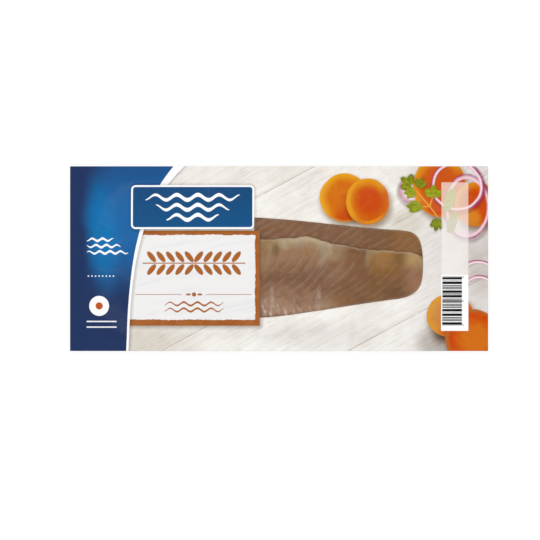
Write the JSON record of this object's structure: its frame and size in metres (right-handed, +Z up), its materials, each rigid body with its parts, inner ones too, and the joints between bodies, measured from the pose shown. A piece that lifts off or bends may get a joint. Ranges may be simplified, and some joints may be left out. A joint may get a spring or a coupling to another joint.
{
  "type": "vacuum pack of smoked herring fillets",
  "caption": "Flat sealed vacuum pack with a printed film face and a tongue-shaped clear window over overlapping smoked herring fillets.",
  "frame": {"origin": "middle of the pack's outline, on the surface it lies on", "axes": "+X along the pack towards the tail ends and the window's tip, +Y across it towards the label's top edge, +Z up out of the printed face"},
  "size_m": [0.276, 0.122, 0.0111],
  "materials": {
    "printed_film": "satin printed film with fields of blue, off-white boards and orange-brown",
    "clear_film": "clear gloss film",
    "backing_film": "satin plain white film",
    "smoked_flesh": "moist brown smoked fish flesh with pale muscle lines"
  },
  "bodies": {
    "root": {"backing_film": "backing_film", "printed_film": "printed_film", "window_film": "clear_film", "fillet_front": "smoked_flesh", "fillet_back": "smoked_flesh"}
  },
  "joints": []
}
